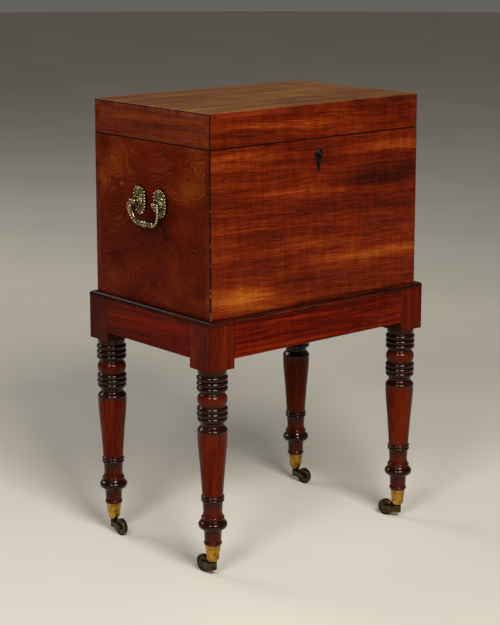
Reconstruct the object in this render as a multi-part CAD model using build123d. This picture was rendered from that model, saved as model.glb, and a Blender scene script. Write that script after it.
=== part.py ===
from build123d import *
import math
import os

# Cellarette on stand: a mahogany wine box with a hinged lid, on a four-legged
# stand with brass casters. Millimetres, +Z up, X to the right along the front,
# the front faces -Y, origin on the floor under the middle of the object.

# ------------------------------------------------------------------ dimensions
BOX_W = 430.0          # box width (X)
BOX_D = 284.0          # box depth (Y)
WALL = 12.0            # carcass board thickness
TOTAL_H = 711.0        # floor to lid top
BOX_Z0 = 396.0         # underside of the box = top of the stand rails
BODY_TOP = 656.5       # top edge of the carcass
LID_Z0 = 657.0         # lower edge of the lid
LID_TOP_T = 9.0        # lid top board
STRING = 1.6           # ebony stringing section
EDGE_R = 1.4           # rounding of the string corners of the box
LID_R = 2.2            # rounding of the worn lid edges

OVERHANG = 9.0         # stand beyond the box, each side
STAND_W = BOX_W + 2 * OVERHANG
STAND_D = BOX_D + 2 * OVERHANG
RAIL_T = 20.0
RAIL_Z0 = 342.0
BLOCK = 48.0
BLOCK_Z0 = 327.0
MOULD_H = 7.0
MOULD_GAP = 0.3        # box to moulding
LEG_END = 28.0         # foot of the turned leg, inside the caster cup
LEG_X = STAND_W / 2 - BLOCK / 2
LEG_Y = STAND_D / 2 - BLOCK / 2

CUP_TOP = 50.3
CUP_BOT = 21.0
WHEEL_R = 13.5
WHEEL_W = 8.0
TRAIL = 22.0           # swivel axis to wheel axis
PINTLE_R = 3.0
AXLE_R = 2.0
RUN = 0.05             # radial running clearance
# swivel angle of each caster at rest, degrees about +Z from +Y
TURN = {"front_left": 0.0, "front_right": 15.0, "back_left": 176.0, "back_right": 183.0}

HINGE_Y = BOX_D / 2 + 2.9
HINGE_Z = (BODY_TOP + LID_Z0) / 2
HINGE_X = 140.0
HINGE_L = 50.0
KNUCKLE_R = 2.6
PIN_R = 1.2
LEAF_T = 1.5
LEAF_IN = 9.0          # leaf reach over the board edge

HANDLE_Z = 563.5
POST_Y = 25.0
PIVOT_P = 13.5         # bail pivot out from the side face
BAIL_R = 2.7

LINER_T = 1.5
LINER_TOP = 610.0
DIVIDER_T = 6.0
DIVIDER_H = 150.0

os.makedirs("parts", exist_ok=True)
nodes = {}


def block(x0, x1, y0, y1, z0, z1):
    return Pos((x0 + x1) / 2, (y0 + y1) / 2, (z0 + z1) / 2) * Box(x1 - x0, y1 - y0, z1 - z0)


def rod(x, y, z0, z1, r):
    return Pos(x, y, (z0 + z1) / 2) * Cylinder(r, z1 - z0)


def rod_x(x0, x1, y, z, r):
    return Pos((x0 + x1) / 2, y, z) * Rot(0, 90, 0) * Cylinder(r, x1 - x0)


def rod_y(x, y0, y1, z, r):
    return Pos(x, (y0 + y1) / 2, z) * Rot(90, 0, 0) * Cylinder(r, y1 - y0)


def turned(steps):
    """Revolves an outline about Z. steps: (r, z) joins by a line, (rm, zm, r, z) by an arc through rm, zm."""
    r0, z0 = steps[0]
    edges = [Line((0, 0, z0), (r0, 0, z0))]
    here = (r0, 0, z0)
    for s in steps[1:]:
        if len(s) == 2:
            there = (s[0], 0, s[1])
            edges.append(Line(here, there))
        else:
            there = (s[2], 0, s[3])
            edges.append(ThreePointArc(here, (s[0], 0, s[1]), there))
        here = there
    edges.append(Line(here, (0, 0, here[2])))
    edges.append(Line((0, 0, here[2]), (0, 0, z0)))
    face = make_face(Curve() + edges)
    return revolve(face, Axis.Z, 360)


def group(parts):
    return Compound(children=[p.solid() if hasattr(p, "solid") else p for p in parts])


hw, hd = BOX_W / 2, BOX_D / 2
sw, sd = STAND_W / 2, STAND_D / 2

# ------------------------------------------------------------------- screws
def screw_down(x, y, ztop, length=8.0, r=1.3, head=2.2):
    """Countersunk screw, head flush at ztop, point downwards."""
    return turned_at(x, y, ztop, length, r, head, 1)


def screw_up(x, y, zbot, length=8.0, r=1.3, head=2.2):
    return turned_at(x, y, zbot, length, r, head, -1)


def turned_at(x, y, z, length, r, head, s):
    c = head - r
    pts = [(head, z), (r, z - s * c), (r, z - s * (length - 1.5)), (0.4, z - s * length)]
    body = turned(pts)
    # the driver slot
    cut = Pos(0, 0, z) * Box(2 * head + 1, 0.5, 0.9)
    return Pos(x, y, 0) * (body - cut)


# --------------------------------------------------------------- box carcass
body_shell = block(-hw, hw, -hd, hd, BOX_Z0, BODY_TOP)
body_shell = fillet(body_shell.edges().filter_by(Axis.Z), EDGE_R)
corner_strips = [
    block(sx * hw - (STRING if sx > 0 else 0), sx * hw + (0 if sx > 0 else STRING),
          sy * hd - (STRING if sy > 0 else 0), sy * hd + (0 if sy > 0 else STRING), BOX_Z0, BODY_TOP)
    for sx in (-1, 1) for sy in (-1, 1)
]
front = block(-hw, hw, -hd, -hd + WALL, BOX_Z0, BODY_TOP) & body_shell
back = block(-hw, hw, hd - WALL, hd, BOX_Z0, BODY_TOP) & body_shell
left = block(-hw, -hw + WALL, -hd + WALL, hd - WALL, BOX_Z0, BODY_TOP)
right = block(hw - WALL, hw, -hd + WALL, hd - WALL, BOX_Z0, BODY_TOP)
bottom = block(-hw + WALL, hw - WALL, -hd + WALL, hd - WALL, BOX_Z0 + 1, BOX_Z0 + 12)
for s in corner_strips:
    front -= s
    back -= s
nodes["box_stringing"] = group([s & body_shell for s in corner_strips])

# lead liner, an open tray
liner_z0 = BOX_Z0 + 12
liner = block(-hw + WALL, hw - WALL, -hd + WALL, hd - WALL, liner_z0, LINER_TOP)
liner -= block(-hw + WALL + LINER_T, hw - WALL - LINER_T, -hd + WALL + LINER_T, hd - WALL - LINER_T,
               liner_z0 + LINER_T, LINER_TOP + 1)
nodes["box_liner"] = liner

# bottle divider: one long board and two cross boards, halved together
dz0 = liner_z0 + LINER_T
dz1 = dz0 + DIVIDER_H
ix, iy = hw - WALL - LINER_T, hd - WALL - LINER_T
cross_x = (2 * ix - 2 * DIVIDER_T) / 3 / 2 + DIVIDER_T / 2
mid = dz0 + DIVIDER_H / 2
t = DIVIDER_T / 2
long_board = block(-ix, ix, -t, t, dz0, dz1)
cross_boards = []
for sx in (-1, 1):
    long_board -= block(sx * cross_x - t, sx * cross_x + t, -t, t, mid, dz1)
    cb = block(sx * cross_x - t, sx * cross_x + t, -iy, iy, dz0, dz1)
    cb -= block(sx * cross_x - t, sx * cross_x + t, -t, t, dz0, mid)
    cross_boards.append(cb)
nodes["divider_long_board"] = long_board
nodes["divider_cross_boards"] = group(cross_boards)

# ------------------------------------------------------------------- the lid
lid_shell = block(-hw, hw, -hd, hd, LID_Z0, TOTAL_H)
lid_shell = fillet(lid_shell.edges().filter_by(Axis.Z), LID_R)
lid_shell = fillet(lid_shell.faces().sort_by(Axis.Z)[-1].edges(), LID_R - 0.3)
top_z0 = TOTAL_H - LID_TOP_T
lid_front = block(-hw, hw, -hd, -hd + WALL, LID_Z0, top_z0)
lid_back = block(-hw, hw, hd - WALL, hd, LID_Z0, top_z0)
lid_left = block(-hw, -hw + WALL, -hd + WALL, hd - WALL, LID_Z0, top_z0)
lid_right = block(hw - WALL, hw, -hd + WALL, hd - WALL, LID_Z0, top_z0)
lid_top = block(-hw, hw, -hd, hd, top_z0, TOTAL_H)

lid_strips = []
for sx in (-1, 1):
    for sy in (-1, 1):
        lid_strips.append(block(sx * hw - (STRING if sx > 0 else 0), sx * hw + (0 if sx > 0 else STRING),
                                sy * hd - (STRING if sy > 0 else 0), sy * hd + (0 if sy > 0 else STRING),
                                LID_Z0 + STRING, TOTAL_H - 2.6))
# along the two short sides, just below the top edge
for sx in (-1, 1):
    x0 = -hw if sx < 0 else hw - 1.2
    lid_strips.append(block(x0, x0 + 1.2, -hd, hd, TOTAL_H - 2.6, TOTAL_H - 1.4))
# round the lower edge of the lid, along the joint with the box
seam = block(-hw, hw, -hd, hd, LID_Z0, LID_Z0 + STRING)
seam -= block(-hw + STRING, hw - STRING, -hd + STRING, hd - STRING, LID_Z0, LID_Z0 + STRING)
lid_strips.append(seam)
strips_in_shell = [s & lid_shell for s in lid_strips]

# --------------------------------------------------------------- lock and key
LOCK_X = 28.0
case = block(-LOCK_X, LOCK_X, -hd + 2.5, -hd + WALL, 618.0, BODY_TOP - 1.6)
selvage = block(-36, 36, -hd + 2.5, -hd + WALL, BODY_TOP - 1.6, BODY_TOP)
lock_body = case + selvage
KEY_Z = 633.0


def keyhole(y0, y1, grow=0.0):
    hole = rod_y(0, y0, y1, KEY_Z, 2.8 + grow)
    return hole + block(-1.3 - grow, 1.3 + grow, y0, y1, KEY_Z - 8.5 - grow, KEY_Z)


lock_envelope = lock_body
lock_body = lock_body - block(-27, 27, -hd + 4.0, -hd + WALL - 1.0, 621.0, BODY_TOP - 2.6)
lock_body -= keyhole(-hd + 2.0, -hd + 6.0)
lock_body += rod_y(0, -hd + 3.0, -hd + WALL - 0.5, KEY_Z, 1.1)
STAPLES = (-10.0, 14.0)
for xs in STAPLES:
    lock_body -= block(xs - 1.7, xs + 1.7, -hd + 4.0, -hd + WALL - 1.0, BODY_TOP - 3.0, BODY_TOP + 1)
lock_screws = [screw_down(x, -hd + 7.2, BODY_TOP, 10.0) for x in (-32.0, 32.0)]
for s in lock_screws:
    lock_body -= s
front -= lock_envelope
for s in lock_screws:
    front -= s
nodes["lock_case"] = lock_body
nodes["lock_screws"] = group(lock_screws)

# the sliding bolt with two fingers that enter the staples
by0, by1 = -hd + 6.0, -hd + 9.0
bolt = block(-20, 12, by0, by1, 641.2, 645.4)
for xa in (-20.0, 4.0):
    bolt += block(xa, xa + 4, by0, by1, 645.4, 651.0)
    bolt += block(xa + 4, xa + 8.2, by0 + 0.3, by1 - 0.3, 648.3, 651.0)
nodes["lock_bolt"] = bolt

# plate with two staples, let into the lower edge of the lid
link = block(-32, 32, -hd + 2.5, -hd + WALL, LID_Z0, LID_Z0 + 1.6)
for xs in STAPLES:
    staple = block(xs - 1.2, xs + 1.2, -hd + 4.8, -hd + 10.2, 646.4, LID_Z0)
    staple -= block(xs - 1.2, xs + 1.2, -hd + 6.0, -hd + 9.0, 647.8, 651.6)
    link += staple
link_screws = [screw_up(x, -hd + 7.2, LID_Z0, 9.0) for x in (-27.0, 27.0)]
link_cut = block(-32, 32, -hd + 2.5, -hd + WALL, LID_Z0, LID_Z0 + 1.6)
for s in link_screws:
    link -= s
    lid_front -= s
lid_front -= link_cut
nodes["lock_link_plate"] = link
nodes["lock_link_screws"] = group(link_screws)

# teardrop escutcheon, let into the front
with BuildSketch(Plane.XZ) as tear:
    with Locations((0, 634.2)):
        Circle(8.3)
    with Locations((0, 606.2)):
        Circle(1.1)
    make_hull()
esc = extrude(Pos(0, -hd - 0.3, 0) * tear.sketch, amount=-1.9)
if esc.bounding_box().min.Y < -hd - 1.0:
    esc = extrude(Pos(0, -hd - 0.3, 0) * tear.sketch, amount=1.9)
front -= esc
esc -= keyhole(-hd - 1.0, -hd + 3.0)
front -= keyhole(-hd, -hd + 4.0)
nodes["escutcheon"] = esc

# ------------------------------------------------------------------- hinges
body_leaves, lid_leaves, pins, body_screws, lid_screws = [], [], [], [], []
kl = HINGE_L / 5
for hx in (-HINGE_X, HINGE_X):
    x0, x1 = hx - HINGE_L / 2, hx + HINGE_L / 2
    cuts_body = [(x0, x0 + kl), (x0 + 2 * kl, x0 + 3 * kl), (x0 + 4 * kl, x1)]
    cuts_lid = [(x0 + kl, x0 + 2 * kl), (x0 + 3 * kl, x0 + 4 * kl)]
    bl = block(x0, x1, hd - LEAF_IN, hd, BODY_TOP - LEAF_T, BODY_TOP)
    ll = block(x0, x1, hd - LEAF_IN, hd, LID_Z0, LID_Z0 + LEAF_T)
    leaf_pocket_b, leaf_pocket_l = bl, ll
    g = 0.15
    for a, b in cuts_body:
        a2, b2 = a + (g if a > x0 else 0), b - (g if b < x1 else 0)
        bl += rod_x(a2, b2, HINGE_Y, HINGE_Z, KNUCKLE_R)
        bl += block(a2, b2, hd - 0.5, HINGE_Y, BODY_TOP - LEAF_T, BODY_TOP)
    for a, b in cuts_lid:
        ll += rod_x(a + g, b - g, HINGE_Y, HINGE_Z, KNUCKLE_R)
        ll += block(a + g, b - g, hd - 0.5, HINGE_Y, LID_Z0, LID_Z0 + LEAF_T)
    bl -= rod_x(x0 - 1, x1 + 1, HINGE_Y, HINGE_Z, PIN_R)
    ll -= rod_x(x0 - 1, x1 + 1, HINGE_Y, HINGE_Z, PIN_R + RUN)
    pins.append(rod_x(x0 - 0.6, x1 + 0.6, HINGE_Y, HINGE_Z, PIN_R))
    for dx in (-17.0, 0.0, 17.0):
        s = screw_down(hx + dx, hd - 5.2, BODY_TOP, 9.0)
        bl -= s
        back -= s
        body_screws.append(s)
        s = screw_up(hx + dx, hd - 5.2, LID_Z0, 9.0)
        ll -= s
        lid_back -= s
        lid_screws.append(s)
    back -= leaf_pocket_b
    lid_back -= leaf_pocket_l
    strips_in_shell = [s - leaf_pocket_l for s in strips_in_shell]
    body_leaves.append(bl)
    lid_leaves.append(ll)
nodes["hinge_body_leaves"] = group(body_leaves)
nodes["hinge_lid_leaves"] = group(lid_leaves)
nodes["hinge_pins"] = group(pins)
nodes["hinge_body_screws"] = group(body_screws)
nodes["hinge_lid_screws"] = group(lid_screws)

# --------------------------------------------------- lid pieces, cut to shape
for s in lid_strips:
    lid_front -= s
    lid_back -= s
    lid_left -= s
    lid_right -= s
    lid_top -= s
nodes["lid_front_rail"] = lid_front & lid_shell
nodes["lid_back_rail"] = lid_back & lid_shell
nodes["lid_left_rail"] = lid_left
nodes["lid_right_rail"] = lid_right
nodes["lid_top_board"] = lid_top & lid_shell
lid_string_solids = []
for s in strips_in_shell:
    lid_string_solids += list(s.solids())
nodes["lid_stringing"] = Compound(children=lid_string_solids)

# ------------------------------------------------------------ lifting handles
BAIL_PATH = [  # (out from the face, along the side, below the pivot)
    (13.5, 32.6, 0.0), (14.3, 34.2, -3.8), (14.4, 34.4, -8.5), (13.6, 32.8, -17.0), (12.2, 28.8, -25.0),
    (11.2, 21.5, -30.6), (10.8, 11.0, -32.4), (10.8, 0.0, -32.6),
]
nuts = []
for side, sx in (("left", -1), ("right", 1)):
    face = sx * hw
    plates, posts = [], []
    for sy in (-1, 1):
        y = sy * POST_Y
        with BuildSketch(Plane.YZ) as pl:
            with Locations((y, HANDLE_Z + 9.8)):
                Circle(11.0)
            with Locations((y, HANDLE_Z - 8.8)):
                Circle(11.6)
            with Locations((y, HANDLE_Z)):
                Circle(14.6)
            make_hull()
        plate = extrude(Pos(face, 0, 0) * pl.sketch, amount=2.4 * sx)
        plate = fillet(plate.faces().sort_by(Axis.X)[-1 if sx > 0 else 0].edges(), 1.0)
        # stud: shank through the side, collar, neck and pivot ball
        shank = rod_x(min(face - sx * (WALL - 0.5), face), max(face - sx * (WALL - 0.5), face), y, HANDLE_Z, 2.5)
        x_in = face
        x_out = face + sx * (PIVOT_P + 4.6)
        collar = rod_x(min(x_in, face + sx * 4.4), max(x_in, face + sx * 4.4), y, HANDLE_Z, 5.0)
        neck = rod_x(min(x_in, face + sx * PIVOT_P), max(x_in, face + sx * PIVOT_P), y, HANDLE_Z, 3.2)
        ball = Pos(face + sx * PIVOT_P, y, HANDLE_Z) * Sphere(4.8)
        stud = shank + collar + neck + ball
        # blind hole for the bail, from the outer side
        ya, yb = (y + 0.6 * sy, y + 6.0 * sy)
        stud -= rod_y(face + sx * PIVOT_P, min(ya, yb), max(ya, yb), HANDLE_Z, 1.75 + RUN)
        plate -= collar
        plate -= rod_x(min(face - 1, face + 1), max(face - 1, face + 1), y, HANDLE_Z, 2.5)
        # nut sunk in the inner face
        xi = face - sx * WALL
        hexa = Pos(xi + sx * 1.6, y, HANDLE_Z) * Rot(0, 90, 0) * extrude(RegularPolygon(5.0, 6), amount=1.6, both=True)
        pocket = hexa
        nut = hexa - rod_x(xi - 1 if sx > 0 else xi - 5, xi + 5 if sx > 0 else xi + 1, y, HANDLE_Z, 2.5)
        nuts.append(nut)
        if sx < 0:
            left -= shank
            left -= pocket
        else:
            right -= shank
            right -= pocket
        plates.append(plate)
        posts.append(stud)
    nodes["handle_%s_plates" % side] = group(plates)
    nodes["handle_%s_posts" % side] = group(posts)
    if sx > 0:
        nodes["handle_right_bail"] = mirror(nodes["handle_left_bail"], Plane.YZ)
        continue
    pts = [(face + sx * p, yy, HANDLE_Z + dz) for p, yy, dz in BAIL_PATH]
    pts = pts + [(x, -yy, z) for x, yy, z in pts[-2::-1]]
    bail = None
    for a, b in zip(pts, pts[1:]):
        va, vb = Vector(*a), Vector(*b)
        seg = Solid.make_cylinder(BAIL_R, (vb - va).length, Plane(origin=va, z_dir=(vb - va).normalized()))
        joint = Pos(*b) * Sphere(BAIL_R)
        bail = seg if bail is None else bail + seg
        bail = bail + joint
    bail = bail + Pos(*pts[0]) * Sphere(BAIL_R)
    for sy in (-1, 1):
        ya, yb = sy * 33.0, sy * (POST_Y + 1.2)
        bail = bail + rod_y(face + sx * PIVOT_P, min(ya, yb), max(ya, yb), HANDLE_Z, 1.75)
    # knop in the middle of the grip
    bail = bail + Pos(*pts[len(pts) // 2]) * Sphere(4.0)
    nodes["handle_%s_bail" % side] = bail
nodes["handle_nuts"] = group(nuts)

nodes["box_front"] = front
nodes["box_back"] = back
nodes["box_left_side"] = left
nodes["box_right_side"] = right
nodes["box_bottom"] = bottom

# --------------------------------------------------------------------- stand
def leg_blank():
    blk = block(-BLOCK / 2, BLOCK / 2, -BLOCK / 2, BLOCK / 2, BLOCK_Z0, BOX_Z0)
    blk = fillet(blk.edges().filter_by(Axis.Z), 0.8)
    shape = turned([
        (21.8, BLOCK_Z0 + 2.0), (21.8, 321.0), (20.9, 319.2, 21.2, 317.2),
        (23.85, 312.8, 21.2, 308.4), (23.85, 304.4, 21.2, 300.1),
        (23.7, 296.0, 21.4, 292.4), (19.0, 291.2), (18.6, 289.9, 19.2, 288.4),
        (23.0, 280.6, 20.8, 271.4), (20.5, 270.0), (21.6, 268.6),
        (23.6, 264.6, 21.9, 260.6), (23.8, 256.4, 21.7, 252.4),
        (23.0, 248.6, 20.8, 245.2), (18.6, 243.6), (18.0, 240.6, 18.9, 237.4),
        (22.4, 233.4), (23.2, 231.2, 22.9, 228.6),
        (22.95, 221.5), (21.95, 204.8), (20.6, 189.6), (19.15, 174.4), (18.15, 159.2),
        (17.1, 145.6), (16.1, 128.6),
        (17.9, 125.7, 16.7, 123.2), (17.9, 120.9, 15.9, 118.4),
        (15.3, 114.0), (14.8, 106.1), (15.1, 99.0, 16.4, 95.6),
        (17.9, 93.2, 17.1, 90.8), (18.4, 88.0), (22.3, 82.2, 18.0, 75.6),
        (15.2, 74.2), (14.0, 71.9), (13.2, 67.3), (12.9, 56.0), (13.6, 54.4),
        (14.1, 52.6, 13.2, CUP_TOP), (10.75, CUP_TOP), (10.7, 48.0), (8.4, LEG_END),
    ])
    return blk + shape


def cup_blank():
    return turned([
        (12.3, CUP_TOP), (12.75, 49.4, 12.2, 48.4), (11.9, 47.6), (9.9, 29.6),
        (8.6, 24.6, 4.6, CUP_BOT), (0.2, CUP_BOT),
    ])


leg_shape = leg_blank()
cup_shape = cup_blank()
leg_foot = turned([(10.75, CUP_TOP), (10.7, 48.0), (8.4, LEG_END)])
cup_shape -= leg_foot
cup_shape -= rod(0, 0, CUP_BOT - 1, 27.0, PINTLE_R + RUN)

corners = {"front_left": (-1, -1), "front_right": (1, -1), "back_left": (-1, 1), "back_right": (1, 1)}
TEN_L, TEN_T = 15.0, 8.0
legs = {k: Pos(sx * LEG_X, sy * LEG_Y, 0) * leg_shape for k, (sx, sy) in corners.items()}

# rails with tenons into the leg blocks
xr, yr = sw - BLOCK, sd - BLOCK
rails = {}
for name, sy in (("front", -1), ("back", 1)):
    y0, y1 = sorted((sy * sd, sy * (sd - RAIL_T)))
    rail = block(-xr, xr, y0, y1, RAIL_Z0, BOX_Z0)
    ty0, ty1 = sorted((sy * (sd - 6), sy * (sd - 6 - TEN_T)))
    tenon = block(-xr - TEN_L, xr + TEN_L, ty0, ty1, RAIL_Z0 + 7, BOX_Z0 - 7)
    rails[name] = rail + tenon
for name, sx in (("left", -1), ("right", 1)):
    x0, x1 = sorted((sx * sw, sx * (sw - RAIL_T)))
    rail = block(x0, x1, -yr, yr, RAIL_Z0, BOX_Z0)
    tx0, tx1 = sorted((sx * (sw - 6), sx * (sw - 6 - TEN_T)))
    tenon = block(tx0, tx1, -yr - TEN_L, yr + TEN_L, RAIL_Z0 + 7, BOX_Z0 - 7)
    rails[name] = rail + tenon
for name, rail in rails.items():
    nodes["stand_%s_rail" % name] = rail
for k, (sx, sy) in corners.items():
    leg = legs[k]
    leg -= rails["front" if sy < 0 else "back"]
    leg -= rails["left" if sx < 0 else "right"]
    nodes["leg_%s" % k] = leg

# edge moulding that locates the box, four mitred strips
ring = block(-sw, sw, -sd, sd, BOX_Z0, BOX_Z0 + MOULD_H)
ring = fillet(ring.faces().sort_by(Axis.Z)[-1].edges(), 4.6)
inner_w, inner_d = hw + MOULD_GAP, hd + MOULD_GAP
ring -= block(-inner_w, inner_w, -inner_d, inner_d, BOX_Z0 - 1, BOX_Z0 + MOULD_H + 1)
m = 12.0
for name, poly in {
    "front": [(-sw, -sd), (sw, -sd), (sw - m, -sd + m), (-sw + m, -sd + m)],
    "back": [(-sw, sd), (sw, sd), (sw - m, sd - m), (-sw + m, sd - m)],
    "left": [(-sw, -sd), (-sw + m, -sd + m), (-sw + m, sd - m), (-sw, sd)],
    "right": [(sw, -sd), (sw - m, -sd + m), (sw - m, sd - m), (sw, sd)],
}.items():
    wedge = extrude(Pos(0, 0, BOX_Z0 - 1) * make_face(Polyline(*poly, close=True)), amount=MOULD_H + 2)
    if wedge.bounding_box().max.Z < BOX_Z0 + MOULD_H:
        wedge = extrude(Pos(0, 0, BOX_Z0 - 1) * make_face(Polyline(*poly, close=True)), amount=-(MOULD_H + 2))
    nodes["stand_%s_moulding" % name] = ring & wedge

# ------------------------------------------------------------------- casters
def horn_blank():
    """Swivel horn, trailing to +Y: pintle, hub and two arms either side of the wheel."""
    hub = rod(0, 0, 8.6, CUP_BOT - 0.3, 6.1)
    hub = fillet(hub.faces().sort_by(Axis.Z)[0].edges(), 1.0)
    pintle = rod(0, 0, CUP_BOT - 1.0, 26.6, PINTLE_R)
    shape = hub + pintle
    with BuildSketch(Plane.YZ) as arm:
        with Locations((TRAIL, WHEEL_R)):
            Circle(4.4)
        with Locations((1.5, 13.9)):
            Rectangle(3.0, 9.2)
        make_hull()
    for sx in (-1, 1):
        a = extrude(Pos(sx * 4.5, 0, 0) * arm.sketch, amount=1.7 * sx)
        shape += a
    shape -= rod_x(-8, 8, TRAIL, WHEEL_R, AXLE_R)
    return shape


def wheel_blank():
    w = Pos(0, TRAIL, WHEEL_R) * Rot(0, 90, 0) * Cylinder(WHEEL_R, WHEEL_W)
    w = fillet(w.edges().filter_by(GeomType.CIRCLE), 1.6)
    for s in (-1, 1):
        x0, x1 = sorted((s * (WHEEL_W / 2 - 0.9), s * (WHEEL_W / 2 + 1)))
        ringcut = rod_x(x0, x1, TRAIL, WHEEL_R, 10.6) - rod_x(x0, x1, TRAIL, WHEEL_R, 4.2)
        w -= ringcut
    w -= rod_x(-10, 10, TRAIL, WHEEL_R, AXLE_R + RUN)
    return w


def axle_blank():
    a = rod_x(-6.2, 6.2, TRAIL, WHEEL_R, AXLE_R)
    for s in (-1, 1):
        x0, x1 = sorted((s * 6.2, s * 7.0))
        a += rod_x(x0, x1, TRAIL, WHEEL_R, 2.9)
    return a


horn, wheel, axle = horn_blank(), wheel_blank(), axle_blank()
cups, caster_screws = [], []
for k, (sx, sy) in corners.items():
    place = Pos(sx * LEG_X, sy * LEG_Y, 0)
    turn = place * Rot(0, 0, TURN[k])
    nodes["caster_%s_horn" % k] = turn * horn
    nodes["caster_%s_wheel" % k] = turn * wheel
    nodes["caster_%s_axle" % k] = turn * axle
    cup = place * cup_shape
    leg = nodes["leg_%s" % k]
    for ang in (212.0, 32.0):
        # screw through the cup into the leg, square to its side
        scr = turned([(1.9, 0.0), (1.1, -0.8), (1.1, -6.2), (0.4, -7.0)])
        scr -= Box(5, 0.5, 0.7)
        a = math.radians(ang)
        rr = 11.45
        scr = place * Rot(0, 0, ang) * Pos(rr, 0, 44.2) * Rot(0, 90, 0) * scr
        cup -= scr
        leg -= scr
        caster_screws.append(scr)
    # the drilled heads leave no sliver outside the cup wall
    cups.append(cup)
    nodes["leg_%s" % k] = leg
nodes["caster_cups"] = group(cups)
nodes["caster_screws"] = group(caster_screws)

# -------------------------------------------------------------------- export
for name, shape in nodes.items():
    export_step(shape, "parts/%s.step" % name)
print(len(nodes), "nodes written")
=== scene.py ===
"""Looks of the cellarette on stand: wood, brass, lead, and the cast handles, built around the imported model."""

import math
import random

import bmesh
import bpy
from mathutils import Matrix, Vector


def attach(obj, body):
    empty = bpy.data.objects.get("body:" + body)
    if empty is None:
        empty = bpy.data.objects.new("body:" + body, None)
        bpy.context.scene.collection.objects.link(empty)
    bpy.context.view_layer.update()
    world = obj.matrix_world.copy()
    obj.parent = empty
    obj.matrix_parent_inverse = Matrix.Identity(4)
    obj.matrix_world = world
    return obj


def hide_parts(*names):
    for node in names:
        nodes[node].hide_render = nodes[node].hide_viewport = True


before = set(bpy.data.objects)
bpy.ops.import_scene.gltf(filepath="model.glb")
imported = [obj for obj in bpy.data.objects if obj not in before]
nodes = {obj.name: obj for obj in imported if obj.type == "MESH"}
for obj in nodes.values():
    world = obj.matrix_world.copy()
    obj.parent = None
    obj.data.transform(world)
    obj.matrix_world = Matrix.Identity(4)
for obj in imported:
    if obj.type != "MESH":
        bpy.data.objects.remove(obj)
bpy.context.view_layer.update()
scene = bpy.context.scene
scene.view_settings.view_transform = "Standard"
scene.view_settings.look = "None"
random.seed(7)

# ---------------------------------------------------------------- camera

cam_data = bpy.data.cameras.new("camera")
cam = bpy.data.objects.new("camera", cam_data)
scene.collection.objects.link(cam)
cam.location = (-1.8291, -2.1077, 1.0112)
cam.rotation_euler = (math.radians(90 - 11.131), 0, math.radians(-40.701))
cam_data.sensor_width = 36
cam_data.lens = 101.935
cam_data.shift_y = -0.1
cam_data.clip_start = 0.05
cam_data.clip_end = 60
scene.camera = cam

# ---------------------------------------------------------------- shader writing


def srgb(r, g, b):
    def f(c):
        c /= 255
        return c / 12.92 if c <= 0.04045 else ((c + 0.055) / 1.055) ** 2.4

    return (f(r), f(g), f(b), 1.0)


class Value:
    """One output of a node, with arithmetic."""

    def __init__(self, shader, socket):
        self.shader, self.socket = shader, socket

    def op(self, kind, *others):
        return self.shader.math(kind, self, *others)

    def __add__(self, o):
        return self.op("ADD", o)

    __radd__ = __add__

    def __sub__(self, o):
        return self.op("SUBTRACT", o)

    def __rsub__(self, o):
        return self.shader.math("SUBTRACT", o, self)

    def __mul__(self, o):
        return self.op("MULTIPLY", o)

    __rmul__ = __mul__

    def __truediv__(self, o):
        return self.op("DIVIDE", o)

    def __neg__(self):
        return self.op("MULTIPLY", -1.0)


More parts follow.
